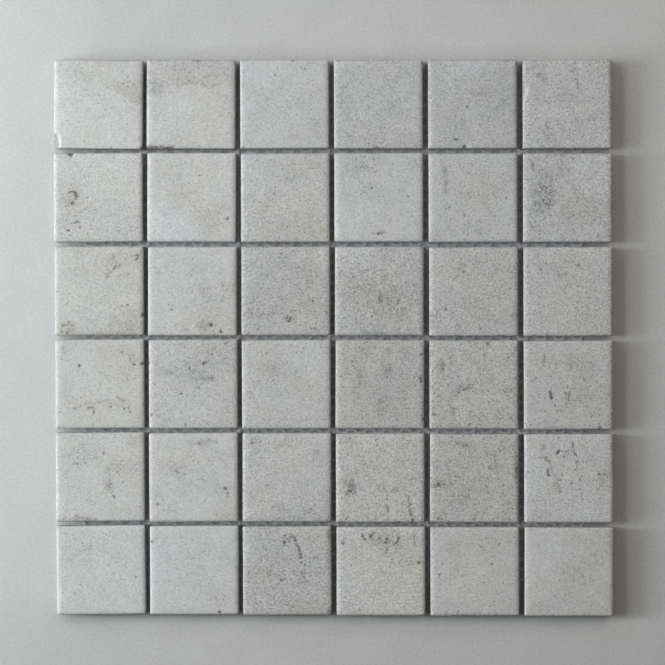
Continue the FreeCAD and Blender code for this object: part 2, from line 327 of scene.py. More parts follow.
MARKS[42] = [
    field([5, 14, 14, 14.5, 20, 12.5, 27, 10, 28, -2, 50, -2, 50, 18.5, 38, 19.5, 33, 22.5, 24,
        22.5, 14, 19, 6, 19.5], 0.055, 1.5, 0, 1),
    pit(29.8, 13, 0.8, 0.9), pit(31, 12.3, 0.6, 0.75), pit(28.4, 11.3, 0.4, 0.5),
    pit(34.2, 7.8, 0.6, 0.7), pit(22, 15.3, 0.55, 0.75), pit(17.6, 29.1, 0.5, 0.95, 0.1),
    pit(1.6, 40.2, 0.55, 0.9), pit(1, 40.8, 0.4, 0.6), cloud(32, 21.6, 4, 1.3, 0.08),
    dots(30, 20.5, 7, 3, 20, 0.45), dots(36, 8, 6, 7, 26, 0.4), chip(0.2, 12.7, 0.9, 1, 0.4, 0.4),
    line([41, 2.3, 43.5, 1.3], 0.35, 0.5), line([27.6, 42, 31.4, 45.8], 0.35, 0.35, 0, 0.3),
    cloud(18, 37, 18, 10, -0.025, -0.2, 0), *pits(0.6, 19.7, 46, 32.3, 20.8, 10, 27.3, 27, 26),
    *pits(0.45, 21.7, 10.2, 16, 20, 3.6, 24),
]
MARKS[43] = [
    cloud(16, 16, 5, 3, 0.03, 0.1), line([5, 13, 16, 16, 30, 22, 42, 32], 3.5, 0.05, 0.1, 0.2),
    cloud(36, 10, 14, 12, -0.05, -0.2, 0), haze(24, 38, 22, 10, -0.03),
    line([4, 28, 9, 37.5], 0.7, 0.2, 0, 0.7), pit(13.6, 7.2, 0.6, 0.6),
    cloud(17.6, 15.6, 1.6, 2.2, 0.1, 0, 1), *pits(0.45, 33, 31.8, 29, 17, 33.5, 4.5, 4.5, 31.4),
    dots(22, 18, 10, 4, 20, 0.35),
]
MARKS[44] = [
    all_over(0.03), cloud(14, 6, 2, 3.5, 0.05), line([16, 0, 16.4, 8], 1.2, 0.14, 0, 0.4),
    dots(28, 6.5, 2.6, 2.4, 18, 0.6), cloud(12.5, 19, 3.5, 6, 0.06, 0.2, 1.4),
    dots(12.5, 22, 3, 8, 26, 0.45), cloud(27, 18, 2.5, 7, 0.07, 0, 1.4),
    dots(28, 17, 2, 4, 16, 0.65), cloud(25, 36, 5, 6, 0.04, 0, 1), dots(26, 32, 6, 9, 22, 0.45),
    cloud(39, 8, 3, 5, 0.04), cloud(24, 24, 24, 24, 0.01, 0, 1.2), haze(20, 18, 3, 10, -0.03),
    *pits(0.65, 29.3, 15, 28, 20), line([46.1, 19.6, 46.3, 22.6], 0.8, 0.8, 0.3, 0.2),
    pit(46.4, 7.8, 0.65, 0.85), pit(47.4, 43, 0.8, 0.7),
    *pits(0.5, 10, 33.7, 12.5, 41.3, 13, 40, 34, 42.5, 9, 11.5),
]
MARKS[45] = [
    dots(7.2, 14.4, 1.2, 2.2, 16, 0.75), cloud(6, 15, 2.4, 3.4, 0.08),
    line([30.8, 1, 33, 3.4], 0.6, 0.65), dots(32, 2, 2, 1.5, 8), dots(14, 28.4, 3, 1.6, 14, 0.6),
    dots(20, 26, 4, 2.2, 24, 0.6), cloud(18, 26.6, 7, 2, 0.06),
    line([20, 26, 25, 23], 0.8, 0.3, 0, 0.8), dots(7, 24, 4, 1, 8), cloud(12, 39, 3, 3, 0.04),
    line([12.6, 38, 12.8, 41.5], 0.6, 0.35), cloud(41, 30, 4, 3, 0.03), haze(38, 19, 4, 4, -0.04),
    pit(2.4, 28.8, 0.55, 0.75), line([1.6, 40.3, 3, 40.4], 0.5, 0.85, 0, 0.1),
    *pits(0.65, 42.6, 30, 42.7, 9.3, 44.5, 26.8),
    *pits(0.5, 1, 8.6, 2, 8, 21.5, 1.2, 17, 2.5, 34, 33, 14.5, 37.5),
]
MARKS[46] = [
    pit(14.2, 28, 0.75, 0.85), pit(14.9, 30.6, 0.85, 0.95), pit(13.9, 29.5, 0.5, 0.7),
    line([15, 28, 14.6, 31], 0.7, 0.8, 0, 0.3), line([24.2, 27.6, 24.8, 29.4], 0.45, 0.75, 0, 0.2),
    line([24, 30, 24.3, 33], 0.45, 0.6, 0, 0.4), dots(23, 31, 3, 3.4, 22, 0.65),
    field([22, 8, 38, 7, 36, 24, 32, 36, 26, 34, 24, 18], 0.035, 3, 0.6, 1),
    cloud(24, 12, 3, 3, 0.06, 0, 1), dots(24, 12, 4, 2, 14, 0.45),
    line([11, 8.8, 11, 11], 0.7, 0.5, 0, 0.3), dots(12, 13, 5, 2, 12, 0.45),
    haze(28, 42, 12, 4, -0.03), haze(8, 42, 6, 4, -0.03), haze(18, 31, 3, 3, -0.03),
    pit(41, 47.2, 0.8, 0.7), *pits(0.65, 23.6, 24.4, 22, 28.2, 16.7, 34.8, 34, 6.3, 25.5, 7),
    *pits(0.45, 17.3, 12.8, 37, 18.5, 25.3, 42.3, 23, 36),
]
MARKS[51] = [
    cloud(17, 11, 9, 5, 0.06, 0, 1), cloud(34, 19, 11, 5, 0.06, 0, 1), dots(16, 14, 9, 8, 24, 0.35),
    dots(32, 20, 8, 5, 20, 0.4), line([9.6, 16.8, 11.6, 16.8], 0.6, 0.55),
    cloud(28.5, 28.5, 3.4, 3.4, 0.13, 0.2, 1), dots(28.6, 29, 2.4, 2.6, 16, 0.6),
    line([30.9, 34, 32, 35], 0.5, 0.85, 0, 0.2), cloud(42, 4, 4, 4, 0.1, 0.3),
    line([11, 44.8, 15, 46.6, 21, 47.2], 0.8, 0.6, 0.7, 0.4), dots(8, 46.8, 6, 0.8, 12, 0.6),
    cloud(10, 40, 10, 5, -0.03, -0.3, 0), cloud(44, 30, 3, 5, 0.03, 0.7),
    *pits(0.65, 28.6, 19.6, 26, 10.4, 26, 11.6, 33.6, 21.3),
    *pits(0.45, 16, 16.2, 36.2, 27, 12, 13.5),
]
MARKS[52] = [
    line([22, 5, 25, 6, 28, 4.4], 0.7, 0.45, 0.3, 0.6),
    line([31, 2.8, 33.4, 4.4, 36.4, 5], 0.8, 0.6, 0.2), dots(28, 5, 6, 2, 22),
    cloud(28, 4, 8, 3, 0.06), dots(14, 19, 8, 4, 30, 0.45), cloud(13, 19, 10, 6, 0.04, 0, 1),
    cloud(34, 20, 8, 8, 0.02), pit(41, 30, 0.85, 0.95), pit(40.2, 30.2),
    dots(42.4, 31.5, 1.2, 3, 14, 0.75), pit(36.2, 32.2, 0.45, 0.5),
    cloud(4.4, 38.5, 1.2, 0.8, 0.2, 0.4, 0), pit(4.5, 38.4, 0.55, 0.7),
    cloud(3.2, 31, 3, 4.5, 0.07, -0.7, 0), cloud(20, 40, 16, 7, -0.03, -0.4, 0),
    dots(29, 26, 2.5, 2, 9, 0.45), *pits(0.5, 17.3, 18.6, 14.8, 21.6, 34, 17, 46.4, 2.4),
]
MARKS[53] = [
    pit(5.3, 5, 0.7, 0.6), cloud(6, 4, 4, 3, 0.05), dots(8, 5, 4, 3, 14, 0.45),
    *pits(0.5, 6.8, 2.8, 1.2, 8.3, 5, 12.3, 8, 10.5), cloud(39.6, 10.6, 2.4, 1.8, 0.08),
    pit(13.4, 28.2, 0.5, 0.65), dots(36, 43, 5.5, 3.4, 30), cloud(37, 43, 5, 3, 0.06),
    line([42, 46, 46, 38, 47, 30], 2, 0.16, 0.2, 0.4), dots(41, 37, 4, 5, 18),
    dots(20, 41, 5, 4, 22, 0.45), cloud(24, 46.6, 24, 2, 0.07, -0.3), cloud(47, 47, 2.4, 3, 0.15),
    cloud(17, 38, 4, 3, 0.03), *pits(0.35, 38, 2, 37, 6.2, 43, 16, 2, 31.6),
]
MARKS[54] = [
    cloud(7.6, 28.5, 3.4, 5, 0.09, 0.2, 1.4), dots(8, 28.5, 2.8, 4.6, 38, 0.75),
    pit(7, 30.7, 0.6, 0.85), pit(9.1, 32.7, 0.55, 0.9), pit(10.4, 31.3, 0.5, 0.75),
    line([9, 25.4, 8.4, 27.6], 0.5, 0.6), pit(10.8, 21.6, 0.55, 0.7), haze(3, 38, 3, 3, -0.06),
    line([23, 30.4, 34, 30.6], 1, 0.2, 0.5, 0.6), line([27.6, 33, 27.7, 37], 0.5, 0.4, 0.3),
    line([27.6, 38.6, 28.3, 42], 0.6, 0.85, 0.2, 0.3),
    line([28.2, 43, 27.7, 46.8], 0.45, 0.55, 0.2), cloud(17, 16, 5, 4, 0.03, 0, 1),
    line([39.2, 34, 39.8, 39], 0.6, 0.5, 0.2), line([39.9, 41.6, 41, 44.6], 0.6, 0.75, 0.2, 0.4),
    pit(41.4, 46.7, 0.75, 0.95), dots(40, 40, 1.2, 6, 16, 0.6), pit(42.6, 44.8, 0.4, 0.6),
    line([40.6, 16.6, 42.4, 14.6, 47, 16.6], 0.5, 0.35, 0.2),
    *pits(0.6, 7.4, 2.7, 21.2, 1.3, 21.2, 46.8, 5.5, 46.3, 40.3, 38.5, 2.8, 46.6),
    *pits(0.5, 5, 25.4, 44.8, 24, 33, 31),
]
MARKS[55] = [
    line([12, 2.6, 18, 5, 22, 8], 1.2, 0.2), dots(18, 5.4, 5, 2.4, 28, 0.55),
    cloud(4.6, 27.4, 3.4, 2.6, 0.1, 0, 1.5), dots(4.8, 27.4, 3, 2.6, 26, 0.75),
    line([35, 11, 35.4, 15, 33.6, 18.8], 0.7, 0.4, 0, 0.6), pit(32, 18.6, 0.5, 0.7),
    cloud(14, 36, 3.5, 3, 0.04), dots(17, 37, 4, 5, 18, 0.45), cloud(13, 30, 10, 8, 0.02, 0, 1),
    cloud(46.6, 20, 1.8, 8, 0.1, 0.3), chip(48.2, 20.5, 1.6, 2.8, 0.4, 0.45),
    cloud(5, 45, 4, 3, 0.05), dots(5, 45.5, 3, 1.8, 14, 0.55), line([23.4, 42.4, 24.2, 46.6], 0.5),
    *pits(0.6, 15.5, 23.2, 38.6, 4.1, 34.4, 30.6, 24.3, 38.2),
    *pits(0.5, 30, 5.3, 11, 14.5, 46.3, 12, 12.6, 33.8),
]
MARKS[56] = [
    line([17.4, 10.4, 18.7, 9.2], 0.65, 1.4, 0, 0), pit(21.4, 12.2, 0.5, 0.85),
    line([13, 19.2, 12.9, 22], 0.5, 1, 0, 0.2), pit(13, 22.3, 0.75, 0.9),
    line([10.2, 4, 10.6, 8, 9, 9], 0.6, 0.4, 0, 0.6),
    line([11, 12.6, 13.6, 15, 14.8, 19], 0.6, 0.5, 0.4, 0.6),
    line([10.5, 11, 13.6, 16.5, 16, 21, 18, 25, 19.4, 32], 0.7, 0.25, 0.9),
    field([15.4, 27, 18, 25, 19.4, 31, 17.4, 31.4], 0.1, 0.8, 0.9, 0),
    line([26.2, 4.6, 26.2, 7.6], 0.5, 0.65, 0, 0.3),
    line([26.9, 8.8, 27.6, 10.4, 28.2, 12.4], 0.5, 0.8, 0, 0.4), pit(28.9, 14.7, 0.6, 0.85),
    line([30, 23, 30.4, 30], 0.42, 0.55, 0, 0.6), line([30.8, 32, 31.8, 36], 0.4, 0.4, 0, 0.6),
    dots(28.6, 17, 1, 5, 12, 0.65), dots(23, 10, 3, 2, 14, 0.55), pit(25.5, 26.6, 0.5, 1),
    dots(42, 24.5, 3.6, 5, 34, 0.6), pit(40.3, 21.7, 0.6), cloud(41, 27, 3, 5, 0.05, 0.2, 1.5),
    cloud(40, 40, 6, 8, 0.03, 0, 1), cloud(5, 24, 8, 14, -0.05, -0.6, 0),
    cloud(36, 42, 14, 7, -0.04, -0.3, 0),
    *pits(0.65, 20.5, 22.3, 19.3, 24.8, 8.2, 45, 19.2, 31.4, 18.8, 2.2, r=0.5),
    *pits(0.5, 9, 12.6, 13.7, 15.6, 27.6, 19.3, 31.6, 15, 40.9, 43.2, 1.9, 20.6, 15.4, 32.8),
]
MARKS[61] = [
    pit(14.3, 9.3, 0.5, 0.45), cloud(18.5, 18.8, 1.4, 1.4, 0.1, -0.2), pit(42.5, 28),
    pit(28.3, 21.2, 0.45, 0.6), cloud(15, 10, 10, 8, 0.02), cloud(20, 31, 6, 3, 0.02),
    dots(22, 12, 12, 6, 16, 0.3), dots(17, 12, 3, 2, 8, 0.35),
    *pits(0.35, 27, 4.8, 3.6, 36, 3.4, 11.8),
]
MARKS[62] = [
    cloud(4, 24, 4, 22, -0.03, -0.5, 0), cloud(27.6, 22.4, 2.6, 1.6, 0.09, 0.5),
    line([21, 26, 28, 22], 1, 0.14, 0.3), cloud(26, 12, 10, 8, 0.02),
    cloud(38, 38, 7, 10, 0.03, 0.3, 1), dots(36, 38, 7, 7, 18, 0.35), pit(37.7, 46.6, 0.8),
    pit(1, 8.6, 0.55, 0.85), pit(2.2, 7.6, 0.4, 0.5),
    *pits(0.55, 29.4, 13.8, 10.2, 29.6, 35.6, 39.5), dots(36, 14, 6, 5, 10, 0.35),
]
MARKS[63] = [
    all_over(0.02), pit(22.8, 5, 0.6), pit(22.5, 8.7, 0.8, 0.9), pit(25, 7.8, 0.5, 0.6),
    ring(27, 6.8, 1.3, -40, 170, 0.85), pit(28, 7.8, 0.6),
    line([28.7, 7.4, 29.5, 10.4, 30.4, 13, 31.4, 16.4, 32.3, 17], 0.5, 0.85, 0, 0.35),
    pit(29.5, 10.5, 0.6, 0.9), line([31.4, 15, 31.2, 17.4], 0.5, 0.6),
    line([24, 4, 26, 5.4], 0.5, 0.5), dots(25, 6.4, 3, 2.2, 18, 0.7), pit(31.8, 19.8, 0.55, 0.75),
    pit(33.6, 21, 0.6, 0.75), cloud(32.4, 25.6, 1.8, 2.2, 0.12, 0, 1),
    cloud(31.8, 30, 2, 2.6, 0.07), line([19.8, 28.2, 20.8, 29.6, 23, 28], 0.5, 0.7, 0, 0.3),
    ring(14.2, 25, 1.4, 0, 330, 0.3), dots(24, 22, 20, 18, 34, 0.4),
    cloud(33, 43, 10, 4, 0.05, 0.6, 1), dots(24, 42, 4, 5, 18, 0.45),
    cloud(46.6, 4.5, 1.4, 3.5, 0.25, 0.3), cloud(46.6, 45.8, 1.6, 1.6, 0.3, 0.3),
    cloud(42, 20, 6, 6, 0.02, -0.3), cloud(4, 12, 3, 10, -0.02, -0.4, 0),
    *pits(0.5, 7.2, 30.6, 22, 18, 16.8, 7.5, 23.6, 36.8, 14.8, 44.6, 35, 36.8, 12.8, 3),
]
MARKS[64] = [
    line([13.8, 3.6, 14, 5.6], 0.5, 0.8, 0, 0.3), pit(15.4, 6.8, 0.6, 0.85),
    line([18.4, 5.4, 20, 3.2], 0.6, 0.85, 0, 0.3), pit(18.6, 5, 0.6, 0.85),
    pit(23.2, 6.2, 0.7, 0.85), pit(26.8, 8.2, 0.62, 1), pit(27, 6.6, 0.5, 0.7),
    pit(28.2, 8.6, 0.4, 0.7), line([33.2, 5.6, 33.4, 8], 0.5, 0.95, 0, 0.3),
    line([32.8, 7.6, 30.8, 9.8], 0.45, 0.85), pit(33.2, 9.6, 0.5, 0.7), pit(30.8, 5.3, 0.45, 0.6),
    line([27.8, 11.8, 27.2, 13], 0.5, 0.85, 0, 0.3), line([26.6, 13.6, 25, 14.6], 0.45, 0.6),
    dots(28, 8, 7, 4, 36, 0.6), dots(29, 17, 4, 6, 22), dots(18, 5, 5, 2, 14, 0.6),
    cloud(27, 8, 9, 5, 0.07, 0, 1), pit(3.8, 9, 0.65, 0.75), cloud(3.5, 8, 2.5, 2.5, 0.08),
    line([41.8, 4, 42, 10], 0.5, 0.35), cloud(42, 7, 4, 4, 0.05, -0.3),
    cloud(20, 32, 20, 12, -0.025, -0.2, 0), pit(44.5, 19.4, 0.6, 0.85),
    dots(41, 20, 4, 3, 16, 0.45), pit(28.8, 21.8, 0.45, 0.7),
    *pits(0.55, 34.4, 16, 34.5, 18.2, 37.6, 18.2, 8, 20.8, 1.5, 5.4, 12, 45.3),
    cloud(11, 46.6, 8, 1.4, 0.05, 0.4),
]
MARKS[65] = [
    cloud(11, 12, 6, 3.5, 0.06), cloud(26, 8, 8, 7, 0.03, 0.2, 1),
    cloud(28.4, 12.4, 2.2, 1.6, 0.08), pit(27.6, 10.7, 0.5, 0.85), pit(4.8, 25.8, 0.55, 0.85),
    pit(33.2, 20.1, 0.6, 0.75), pit(37.4, 9.2, 0.5, 0.5), dots(34, 8, 8, 7, 24, 0.45),
    dots(17, 22, 4, 5, 18, 0.4), line([4, 47.4, 24, 47.4], 0.5, 0.45, 0.3, 0.6),
    pit(14.8, 45.6, 0.6, 0.6), dots(30, 47, 8, 0.8, 12), dots(5, 21, 4, 5, 12, 0.45),
    *pits(0.4, 1.8, 3.6, 8.5, 45.6, 30, 18, 16, 16),
]
MARKS[66] = [
    all_over(-0.02),
    field([20, -2, 50, -2, 50, 50, 24, 50, 20, 36, 20, 27, 24, 20, 26, 12, 24, 4], 0.035, 2, 0.2,
        0.3),
    cloud(28, 25, 6, 6, 0.03), cloud(12, 14, 12, 12, -0.03, -0.4, 0), cloud(6, 44, 6, 4, 0.04, 0.3),
    line([20, 25, 23, 23.4], 0.5, 0.3, 0.3, 0.3),
    *pits(0.5, 44.2, 3.2, 33, 6.8, 31.8, 26.6, 15.4, 47.3, 38.2, 15.2),
    dots(30, 22, 7, 6, 16, 0.35),
]

# Some tiles are smoother or coarser than the rest, paler or darker, and cooler or warmer
SMOOTH = {11, 12, 13, 22, 24, 31, 32, 41, 51, 52, 61, 62, 66}
COARSE = {16, 26, 33, 34, 35, 36, 44, 45, 46, 54, 55, 56, 63, 64}
PALEST = {11, 22, 61, 62}
PALE = {12, 13, 21, 24, 25, 32, 41, 51, 52, 56, 64, 65, 66}
DARK = {15, 33, 34, 44, 45, 55, 63}
COOL = {13, 14, 15, 16, 24, 25, 26, 61, 62}
WARM = {31, 44, 45, 54, 55, 64}
GRIT_SMOOTH, GRIT_USUAL, GRIT_COARSE = 0.60, 0.80, 0.98
TONE_PALEST, TONE_PALE, TONE_DARK = 0.09, 0.05, -0.055
HUE_WARM, HUE_COOL = 0.17, 0.25

# Unevenness of every face: wavelengths and strengths
BROAD_WAVE, MIDDLE_WAVE, SMALL_WAVE, TINT_WAVE, PATCH_WAVE = 21.0, 6.0, 1.6, 14.0, 3.2
BROAD_TONE, MIDDLE_TONE, SMALL_TONE, TINT_HUE = 0.045, 0.075, 0.060, 0.35
SPECKS_USUAL, SPECKS_MORE, SPECKS_LESS = 0.20, 0.30, 0.10
HOLLOW_WAVE, HOLLOW_DEPTH = 5.0, 0.02

# How much a mark changes tone, grit and specks, and how deep it goes
MARK_TONE, MARK_SPECKS, LEAST_SPECKS = 1.5, 4.0, 0.02
PIT_DEPTH, LINE_DEPTH, RING_DEPTH = 0.12, 0.06, 0.08
DEEP_LINE = 0.3
RING_WIDTH, RING_FADE = 0.45, 25


# Random fields


def value_noise(rng, x, y, wave):
    """Smooth noise from -1 to 1 with the given wavelength."""
    gx, gy = x / wave, y / wave
    gx, gy = gx - gx.min(), gy - gy.min()
    lattice = rng.uniform(-1, 1, (int(gx.max()) + 2, int(gy.max()) + 2))
    i, j = np.floor(gx).astype(int), np.floor(gy).astype(int)
    fx, fy = gx - i, gy - j
    fx, fy = fx * fx * (3 - 2 * fx), fy * fy * (3 - 2 * fy)
    low = lattice[i, j] * (1 - fx) + lattice[i + 1, j] * fx
    high = lattice[i, j + 1] * (1 - fx) + lattice[i + 1, j + 1] * fx
    return low * (1 - fy) + high * fy


def fractal(rng, x, y, wave, octaves, fall=0.6):
    """Octaves of value noise, from -1 to 1."""
    total, weight = np.zeros_like(x), 0.0
    for k in range(octaves):
        total += value_noise(rng, x, y, wave / 2**k) * fall**k
        weight += fall**k
    return total / weight


def distance_to_path(u, v, points):
    best = np.full_like(u, 1e9)
    for (ax, ay), (bx, by) in zip(points[:-1], points[1:]):
        dx, dy = bx - ax, by - ay
        length = math.hypot(dx, dy)
        t = np.clip(((u - ax) * dx + (v - ay) * dy) / length**2, 0, 1)
        best = np.minimum(best, np.hypot(u - ax - t * dx, v - ay - t * dy))
    return best


def depth_in_shape(u, v, points):
    """Distance from the outline of a closed shape, positive inside it."""
    edge = distance_to_path(u, v, points + points[:1])
    inside = np.zeros(u.shape, dtype=bool)
    for (ax, ay), (bx, by) in zip(points, points[1:] + points[:1]):
        if ay != by:
            crosses = (ay > v) != (by > v)
            inside ^= crosses & (u < (bx - ax) * (v - ay) / (by - ay) + ax)
    return np.where(inside, edge, -edge)


def ramp(values, start, width):
    """Rises from 0 to 1 over a width."""
    return np.clip((values - start) / width, 0, 1)


# Tile mesh, built once and then shaped and painted for each tile


def add_object(name, data):
    made = bpy.data.objects.new(name, data)
    bpy.context.scene.collection.objects.link(made)
    return made


def new_mesh(name, verts, faces):
    """A smooth mesh from places in millimetres."""
    mesh = bpy.data.meshes.new(name)
    mesh.from_pydata([tuple(float(q) * MM for q in p) for p in verts], [], faces)
    mesh.polygons.foreach_set("use_smooth", [True] * len(mesh.polygons))
    return mesh


def axis_lines():
    """Along one side: the place in the flat core, and how far into the edge, from -1 to 1."""
    inner = HALF - EDGE_REACH
    k = np.arange(-EDGE_STEPS, FACE_CELLS + EDGE_STEPS + 1)
    core = np.clip(-inner + k * (2 * inner / FACE_CELLS), -inner, inner)
    beyond = np.where(k < 0, k / EDGE_STEPS, np.maximum(k - FACE_CELLS, 0) / EDGE_STEPS)
    return core, beyond


def face_grid():
    """x, y, z and edge depth of the face's vertices, column by column."""
    core, beyond = axis_lines()
    cx, cy = np.meshgrid(core, core, indexing="ij")
    ex, ey = np.meshgrid(beyond, beyond, indexing="ij")
    depth = np.maximum(abs(ex), abs(ey))
    size = (abs(ex) ** CORNER_POWER + abs(ey) ** CORNER_POWER) ** (1 / CORNER_POWER)
    reach = EDGE_REACH * np.sin(depth * math.pi / 2) / np.maximum(size, 1e-9)
    x, y = cx + ex * reach, cy + ey * reach
    z = THICK - EDGE_DROP * (1 - np.cos(depth * math.pi / 2)) - DOME * (x**2 + y**2) / HALF**2
    return x.ravel(), y.ravel(), z.ravel(), depth.ravel()


def border(n):
    """Vertex numbers round the face grid, starting at its lower left corner."""
    low = [i * n for i in range(n)]
    right = [(n - 1) * n + j for j in range(1, n)]
    top = [i * n + n - 1 for i in range(n - 2, -1, -1)]
    left = list(range(n - 2, 0, -1))
    return low + right + top + left


def tile_template():
    """The plain tile, the number of its face's vertices, and their edge depth."""
    x, y, z, depth = face_grid()
    n = FACE_CELLS + 2 * EDGE_STEPS + 1
    verts = list(zip(x, y, z))
    faces = []
    for i in range(n - 1):
        for j in range(n - 1):
            a = i * n + j
            faces.append((a, a + n, a + n + 1, a + 1))
    rim = outline = border(n)
    count = len(rim)
    inset = (HALF - BACK_BEVEL) / HALF
    for height, scale in ((THICK - GLAZE_END, 1.0), (BACK_BEVEL, 1.0), (0.0, inset)):
        start = len(verts)
        verts += [(x[k] * scale, y[k] * scale, height) for k in outline]
        below = list(range(start, start + count))
        for k in range(count):
            faces.append((rim[k], below[k], below[(k + 1) % count], rim[(k + 1) % count]))
        rim = below

    # Back: a border of many-sided faces round the channels and the lands between them
    side = n - 1
    start = len(verts)
    for sign in (-1, 1):
        verts += [(cx, sign * CHANNEL_HALF_LENGTH, 0.0) for cx in CHANNEL_EDGES]
    count = len(CHANNEL_EDGES)
    near = list(range(start, start + count))
    far = list(range(start + count, start + 2 * count))
    rim.append(rim[0])
    low_rim, right_rim, top_rim, left_rim = (
        rim[k * side : (k + 1) * side + 1] for k in range(4)
    )
    for points, edge in ((near, low_rim), (far, top_rim[::-1])):
        xs = np.array([verts[k][0] for k in edge])
        cuts = [0] + [int(abs(xs - cx).argmin()) for cx in CHANNEL_EDGES[1:-1]] + [side]
        for k in range(count - 1):
            outer = [edge[m] for m in range(cuts[k + 1], cuts[k] - 1, -1)]
            faces.append(tuple([points[k], points[k + 1]] + outer))
    faces.append(tuple([near[-1], far[-1]] + right_rim[::-1]))
    faces.append(tuple([near[0], far[0]] + left_rim))
    for k in range(count - 1):
        corners = (near[k], near[k + 1], far[k + 1], far[k])
        if k % 2:
            faces.append(corners)
            continue
        start = len(verts)
        verts += [(verts[c][0], verts[c][1], CHANNEL_DEPTH) for c in corners]
        roof = tuple(range(start, start + 4))
        faces.append(roof)
        for m in range(4):
            faces.append((corners[m], corners[(m + 1) % 4], roof[(m + 1) % 4], roof[m]))

    mesh = new_mesh("tile_template", verts, faces)
    work = bmesh.new()
    work.from_mesh(mesh)
    bmesh.ops.recalc_face_normals(work, faces=work.faces)
    work.to_mesh(mesh)
    work.free()
    return mesh, len(x), depth


# Paint and relief of one tile, written at each vertex under these names
PAINT = ("tone", "warm", "specks", "dark", "grit", "bare")


def tile_paint(row, column, u, v, z, depth):
    """Tone, warmth, specks, darkness, grit and relief at each vertex of the face."""
    rng = np.random.default_rng(SEED + 100 * row + column)
    place = 10 * row + column
    broad = fractal(rng, u, v, BROAD_WAVE, 3)
    middle = fractal(rng, u, v, MIDDLE_WAVE, 3)
    small = fractal(rng, u, v, SMALL_WAVE, 2)
    tint = fractal(rng, u, v, TINT_WAVE, 3)
    patches = 0.5 + 0.5 * fractal(rng, u, v, PATCH_WAVE, 3)
    tone = BROAD_TONE * broad + MIDDLE_TONE * middle + SMALL_TONE * small
    tone += TONE_PALEST * (place in PALEST) + TONE_PALE * (place in PALE)
    tone += TONE_DARK * (place in DARK)
    # Painted shade: the arris is darkened to dim the highlight it catches
    tone -= ARRIS_PAINTED_SHADE * ramp(depth, ARRIS_START, ARRIS_RAMP)
    warm = TINT_HUE * tint + HUE_WARM * (place in WARM) - HUE_COOL * (place in COOL)
    usual = GRIT_COARSE if place in COARSE else GRIT_USUAL
    grit = np.full_like(u, GRIT_SMOOTH if place in SMOOTH else usual)
    specks = SPECKS_USUAL + SPECKS_MORE * np.clip(-broad - 0.5 * middle, 0, 1)
    specks -= SPECKS_LESS * (place in SMOOTH)
    dark = np.zeros_like(u)
    sink = HOLLOW_DEPTH * (1 - fractal(rng, u, v, HOLLOW_WAVE, 4)) / 2
    for kind, *values in MARKS[place]:
        deep = 0.0
        if kind == "cloud":
            cu, cv, ru, rv, cover, hue, spotted = values
            ragged_u = 0.25 * value_noise(rng, u, v, 7.0)
            ragged_v = 0.25 * value_noise(rng, u, v, 5.0)
            d = np.hypot((u - cu) / ru + ragged_u, (v - cv) / rv + ragged_v)
            body = np.exp(-(d**2.4)) * (0.6 + 0.8 * patches)
        elif kind == "field":
            outline, cover, soft, hue, spotted = values
            ragged = 0.9 * value_noise(rng, u, v, 3.0) + 0.5 * value_noise(rng, u, v, 1.3)
            inside = np.clip((depth_in_shape(u, v, outline) + ragged) / soft + 0.5, 0, 1)
            body = inside * (0.7 + 0.6 * patches)
        elif kind == "pit":
            cu, cv, r, deep, rim = values
            d = np.hypot(u - cu, v - cv) + 0.22 * value_noise(rng, u, v, 0.9)
            body = np.clip(1.6 - d / r, 0, 1)
            sink += PIT_DEPTH * body
            tone += (0.03 + rim) * np.exp(-(((d - 1.7 * r) / (0.5 * r)) ** 2))
        elif kind == "dots":
            cu, cv, ru, rv, count, shade = values
            for _ in range(count):
                pu, pv = cu + ru * rng.normal(0, 0.5), cv + rv * rng.normal(0, 0.5)
                d = np.hypot(u - pu, v - pv) / rng.uniform(0.3, 0.65)
                body = shade * rng.uniform(0.3, 1) * np.clip(1.4 - d, 0, 1)
                dark = np.maximum(dark, body)
        elif kind == "line":
            path, width, deep, hue, broken = values
            ragged_u = 0.35 * value_noise(rng, u, v, 2.5)
            ragged_v = 0.35 * value_noise(rng, u, v, 2.5)
            d = distance_to_path(u + ragged_u, v + ragged_v, path)
            crumbly = 1 + broken * (1.7 * value_noise(rng, u, v, 1.3) - 0.55)
            body = 1.1 * np.exp(-((d / width) ** 2)) * np.clip(crumbly, 0, 1.2)
            body = np.clip(body * (0.8 + 0.4 * patches), 0, 1)
            warm += hue * body
            sink += LINE_DEPTH * body * (deep > DEEP_LINE)
        elif kind == "ring":
            cu, cv, r, first, last, deep = values
            turn = (np.degrees(np.arctan2(cv - v, u - cu)) - first) % 360
            on = np.clip(np.minimum(turn, last - first - turn) / RING_FADE, 0, 1)
            off = (np.hypot(u - cu, v - cv) - r) / RING_WIDTH
            body = np.exp(-(off**2)) * on
            sink += RING_DEPTH * body
        elif kind == "chip":
            cu, cv, ru, rv, drop, deep = values
            d = np.hypot((u - cu) / ru, (v - cv) / rv) + 0.12 * value_noise(rng, u, v, 1.2)
            body = np.clip((1.15 - d) / 0.3, 0, 1)
            level = THICK - EDGE_DROP - drop
            sink = np.where(body > 0, np.maximum(sink, (z - level) * body), sink)
            tone = tone * (1 - body) + (ARRIS_PAINTED_SHADE * 0.2 - 0.06) * body
        if kind in ("cloud", "field"):
            tone -= MARK_TONE * cover * body
            warm += hue * body
            specks += MARK_SPECKS * spotted * max(cover, LEAST_SPECKS) * body
            grit += MARK_TONE * spotted * max(cover, 0) * body
        dark = np.maximum(dark, deep * body)
    return tone, warm, np.clip(specks, 0, 1), np.clip(dark, 0, 1), grit, sink


